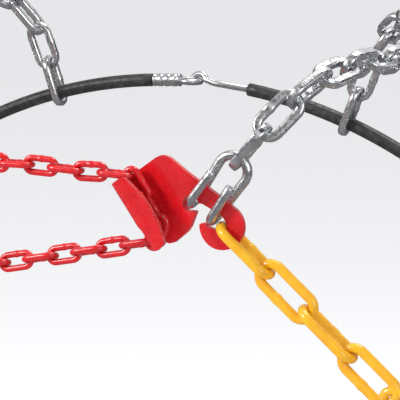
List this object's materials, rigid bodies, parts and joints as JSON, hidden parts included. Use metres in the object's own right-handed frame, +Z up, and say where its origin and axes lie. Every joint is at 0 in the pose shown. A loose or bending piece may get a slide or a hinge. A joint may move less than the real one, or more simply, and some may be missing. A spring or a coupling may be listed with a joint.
{
  "type": "tire snow chain",
  "caption": "Snow chain for a car tire in its mounted shape: diamond cross-chain net, side chain, stamped lock plate, tension chain and inner cable.",
  "frame": {"origin": "centre of the wheel, in the middle plane of the tire", "axes": "+Y along the axle towards the car, so the lock plate is on the -Y side; +Z up"},
  "size_m": [0.6443, 0.2421, 0.626],
  "materials": {
    "red_paint": "gloss",
    "yellow_coating": "gloss",
    "zinc_plate": "bright",
    "coated_cable": "satin"
  },
  "bodies": {
    "root": {"cable_eye": "zinc_plate", "cross_chain_1_rest": "zinc_plate", "inner_cable": "coated_cable", "inner_cross_1": "zinc_plate", "inner_cross_10": "zinc_plate", "inner_cross_11": "zinc_plate", "inner_cross_12": "zinc_plate", "inner_cross_2": "zinc_plate", "inner_cross_3": "zinc_plate", "inner_cross_4": "zinc_plate", "inner_cross_5": "zinc_plate", "inner_cross_6": "zinc_plate", "inner_cross_7": "zinc_plate", "inner_cross_8": "zinc_plate", "inner_cross_9": "zinc_plate", "outer_cross_10": "zinc_plate", "outer_cross_11": "zinc_plate", "outer_cross_12": "zinc_plate", "outer_cross_2": "zinc_plate", "outer_cross_3": "zinc_plate", "outer_cross_4": "zinc_plate", "outer_cross_5": "zinc_plate", "outer_cross_6": "zinc_plate", "outer_cross_7": "zinc_plate", "outer_cross_8": "zinc_plate", "outer_cross_9": "zinc_plate", "side_chain_rest": "yellow_coating", "tension_lower_rest": "red_paint", "tension_upper_rest": "red_paint"},
    "lock_plate": {"lock_plate": "red_paint"},
    "double_hook": {"double_hook": "zinc_plate"},
    "cross_link_1": {"cross_link_1": "zinc_plate"},
    "cross_link_2": {"cross_link_2": "zinc_plate"},
    "cross_link_3": {"cross_link_3": "zinc_plate"},
    "cross_link_4": {"cross_link_4": "zinc_plate"},
    "cross_link_5": {"cross_link_5": "zinc_plate"},
    "cross_link_6": {"cross_link_6": "zinc_plate"},
    "cross_link_7": {"cross_link_7": "zinc_plate"},
    "side_link_1": {"side_link_1": "yellow_coating"},
    "side_link_2": {"side_link_2": "yellow_coating"},
    "side_link_3": {"side_link_3": "yellow_coating"},
    "side_link_4": {"side_link_4": "yellow_coating"},
    "tension_lower_1": {"tension_lower_1": "red_paint"},
    "tension_lower_2": {"tension_lower_2": "red_paint"},
    "tension_lower_3": {"tension_lower_3": "red_paint"},
    "tension_lower_4": {"tension_lower_4": "red_paint"},
    "tension_lower_5": {"tension_lower_5": "red_paint"},
    "tension_lower_6": {"tension_lower_6": "red_paint"},
    "tension_lower_7": {"tension_lower_7": "red_paint"},
    "tension_plate_1": {"tension_plate_1": "red_paint"},
    "tension_plate_2": {"tension_plate_2": "red_paint"},
    "tension_plate_3": {"tension_plate_3": "red_paint"},
    "tension_plate_4": {"tension_plate_4": "red_paint"},
    "tension_upper_1": {"tension_upper_1": "red_paint"},
    "tension_upper_2": {"tension_upper_2": "red_paint"},
    "tension_upper_3": {"tension_upper_3": "red_paint"},
    "tension_upper_4": {"tension_upper_4": "red_paint"},
    "tension_upper_5": {"tension_upper_5": "red_paint"},
    "end_hook": {"end_hook": "zinc_plate"},
    "cable_hook": {"cable_hook": "zinc_plate"}
  },
  "joints": [
    {"name": "lock_plate_rock", "type": "hinge", "parent": "root", "child": "lock_plate", "pos_m": [0.11286, -0.11125, 0.21486], "axis": [-0.9554, -0.1013, 0.2775], "range_deg": [-0.5, 0.5]},
    {"name": "double_hook_swing", "type": "hinge", "parent": "root", "child": "double_hook", "pos_m": [0.10634, -0.11125, 0.22293], "axis": [0.8171, 0, -0.5764], "range_deg": [-1, 1]},
    {"name": "cross_link_1_roll", "type": "hinge", "parent": "root", "child": "cross_link_1", "pos_m": [0.12436, -0.10833, 0.24725], "axis": [0.6541, -0.1219, 0.7465], "range_deg": [-10, 10]},
    {"name": "cross_link_2_roll", "type": "hinge", "parent": "root", "child": "cross_link_2", "pos_m": [0.13533, -0.10537, 0.25992], "axis": [0.6091, 0.3544, 0.7095], "range_deg": [-10, 10]},
    {"name": "cross_link_3_roll", "type": "hinge", "parent": "root", "child": "cross_link_3", "pos_m": [0.14501, -0.09647, 0.2707], "axis": [0.4656, 0.7509, 0.4684], "range_deg": [-10, 10]},
    {"name": "cross_link_4_roll", "type": "hinge", "parent": "root", "child": "cross_link_4", "pos_m": [0.15125, -0.0813, 0.27581], "axis": [0.2877, 0.9407, 0.18], "range_deg": [-10, 10]},
    {"name": "cross_link_5_roll", "type": "hinge", "parent": "root", "child": "cross_link_5", "pos_m": [0.15555, -0.06454, 0.27789], "axis": [0.1789, 0.9836, 0.0225], "range_deg": [-10, 10]},
    {"name": "cross_link_6_roll", "type": "hinge", "parent": "root", "child": "cross_link_6", "pos_m": [0.15796, -0.04723, 0.27764], "axis": [0.1112, 0.9931, -0.0375], "range_deg": [-10, 10]},
    {"name": "cross_link_7_roll", "type": "hinge", "parent": "root", "child": "cross_link_7", "pos_m": [0.15964, -0.02982, 0.27702], "axis": [0.0728, 0.9968, -0.0315], "range_deg": [-10, 10]},
    {"name": "side_link_1_roll", "type": "hinge", "parent": "root", "child": "side_link_1", "pos_m": [0.12336, -0.11125, 0.20545], "axis": [0.745, 0, -0.6671], "range_deg": [-8, 8]},
    {"name": "side_link_2_roll", "type": "hinge", "parent": "root", "child": "side_link_2", "pos_m": [0.14102, -0.11125, 0.18964], "axis": [0.745, 0, -0.6671], "range_deg": [-8, 8]},
    {"name": "side_link_3_roll", "type": "hinge", "parent": "root", "child": "side_link_3", "pos_m": [0.15867, -0.11125, 0.17383], "axis": [0.745, 0, -0.6671], "range_deg": [-8, 8]},
    {"name": "side_link_4_roll", "type": "hinge", "parent": "root", "child": "side_link_4", "pos_m": [0.17633, -0.11125, 0.15802], "axis": [0.745, 0, -0.6671], "range_deg": [-8, 8]},
    {"name": "tension_lower_1_roll", "type": "hinge", "parent": "root", "child": "tension_lower_1", "pos_m": [0.07748, -0.1146, 0.20581], "axis": [-0.981, 0, -0.1942], "range_deg": [-5, 5]},
    {"name": "tension_lower_2_roll", "type": "hinge", "parent": "root", "child": "tension_lower_2", "pos_m": [0.06639, -0.1146, 0.20361], "axis": [-0.981, 0, -0.1942], "range_deg": [-8, 8]},
    {"name": "tension_lower_3_roll", "type": "hinge", "parent": "root", "child": "tension_lower_3", "pos_m": [0.05531, -0.1146, 0.20142], "axis": [-0.981, 0, -0.1942], "range_deg": [-8, 8]},
    {"name": "tension_lower_4_roll", "type": "hinge", "parent": "root", "child": "tension_lower_4", "pos_m": [0.04422, -0.1146, 0.19922], "axis": [-0.981, 0, -0.1942], "range_deg": [-8, 8]},
    {"name": "tension_lower_5_roll", "type": "hinge", "parent": "root", "child": "tension_lower_5", "pos_m": [0.03314, -0.1146, 0.19703], "axis": [-0.981, 0, -0.1942], "range_deg": [-8, 8]},
    {"name": "tension_lower_6_roll", "type": "hinge", "parent": "root", "child": "tension_lower_6", "pos_m": [0.02205, -0.1146, 0.19483], "axis": [-0.981, 0, -0.1942], "range_deg": [-8, 8]},
    {"name": "tension_lower_7_roll", "type": "hinge", "parent": "root", "child": "tension_lower_7", "pos_m": [0.01097, -0.1146, 0.19264], "axis": [-0.981, 0, -0.1942], "range_deg": [-8, 8]},
    {"name": "tension_plate_1_roll", "type": "hinge", "parent": "lock_plate", "child": "tension_plate_1", "pos_m": [0.06768, -0.1146, 0.23411], "axis": [0.9983, 0, -0.0577], "range_deg": [-4, 4]},
    {"name": "tension_plate_2_roll", "type": "hinge", "parent": "lock_plate", "child": "tension_plate_2", "pos_m": [0.07715, -0.1146, 0.23026], "axis": [0.5579, 0, -0.8299], "range_deg": [-4, 4]},
    {"name": "tension_plate_3_roll", "type": "hinge", "parent": "lock_plate", "child": "tension_plate_3", "pos_m": [0.08344, -0.1146, 0.22087], "axis": [0.5563, 0, -0.831], "range_deg": [-4, 4]},
    {"name": "tension_plate_4_roll", "type": "hinge", "parent": "lock_plate", "child": "tension_plate_4", "pos_m": [0.08596, -0.1146, 0.21106], "axis": [-0.3543, 0, -0.9351], "range_deg": [-2.5, 2.5]},
    {"name": "tension_upper_1_roll", "type": "hinge", "parent": "root", "child": "tension_upper_1", "pos_m": [0.05638, -0.1146, 0.23453], "axis": [-1, 0, 0], "range_deg": [-8, 8]},
    {"name": "tension_upper_2_roll", "type": "hinge", "parent": "root", "child": "tension_upper_2", "pos_m": [0.0451, -0.1146, 0.23503], "axis": [-0.9976, 0, 0.0698], "range_deg": [-8, 8]},
    {"name": "tension_upper_3_roll", "type": "hinge", "parent": "root", "child": "tension_upper_3", "pos_m": [0.03383, -0.1146, 0.23574], "axis": [-0.9986, 0, 0.0523], "range_deg": [-8, 8]},
    {"name": "tension_upper_4_roll", "type": "hinge", "parent": "root", "child": "tension_upper_4", "pos_m": [0.02253, -0.1146, 0.23602], "axis": [-1, 0, 0.0087], "range_deg": [-8, 8]},
    {"name": "tension_upper_5_roll", "type": "hinge", "parent": "root", "child": "tension_upper_5", "pos_m": [0.01123, -0.1146, 0.23601], "axis": [-0.9998, 0, -0.0175], "range_deg": [-8, 8]},
    {"name": "end_hook_swing", "type": "hinge", "parent": "root", "child": "end_hook", "pos_m": [-0.19288, -0.11125, 0.1411], "axis": [-0.4414, 0, -0.8973], "range_deg": [-3, 3]},
    {"name": "cable_hook_roll", "type": "hinge", "parent": "root", "child": "cable_hook", "pos_m": [0.01367, 0.113, 0.24862], "axis": [-0.9985, 0, 0.0549], "range_deg": [-5, 5]}
  ]
}
